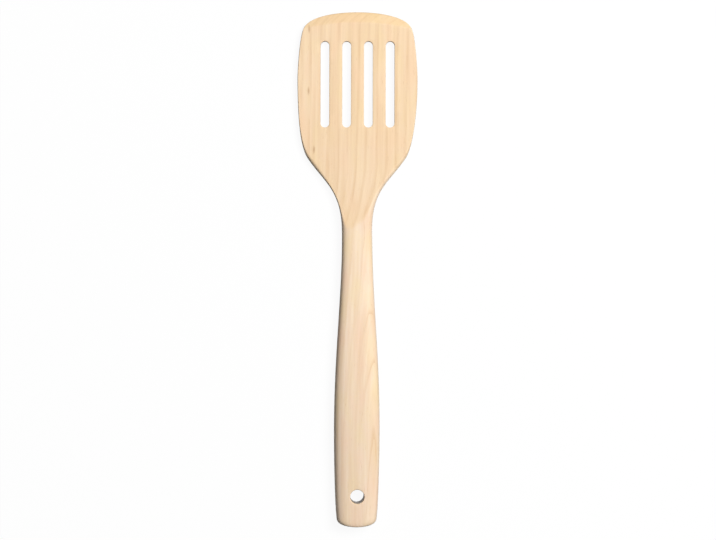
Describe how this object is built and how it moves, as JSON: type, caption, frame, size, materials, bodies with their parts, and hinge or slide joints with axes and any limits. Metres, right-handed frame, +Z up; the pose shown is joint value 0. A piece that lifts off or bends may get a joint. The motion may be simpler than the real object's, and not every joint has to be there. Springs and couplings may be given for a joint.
{
  "type": "slotted turner",
  "caption": "One-piece wooden kitchen turner: a flat slotted blade with a bevelled lip, a scooped neck and a rounded tapering handle with a hanging hole, for lifting and turning food.",
  "frame": {"origin": "on the resting surface, under the middle of the turner's length and width", "axes": "+Y from the butt of the handle towards the lip of the blade, +Z up from the resting surface out of the scooped face, +X across the blade"},
  "size_m": [0.0724, 0.31, 0.0128],
  "materials": {
    "hard_maple": "hard maple, sanded smooth and lightly oiled, pale cream with fine darker growth lines"
  },
  "bodies": {
    "root": {"turner_body": "hard_maple"}
  },
  "joints": []
}
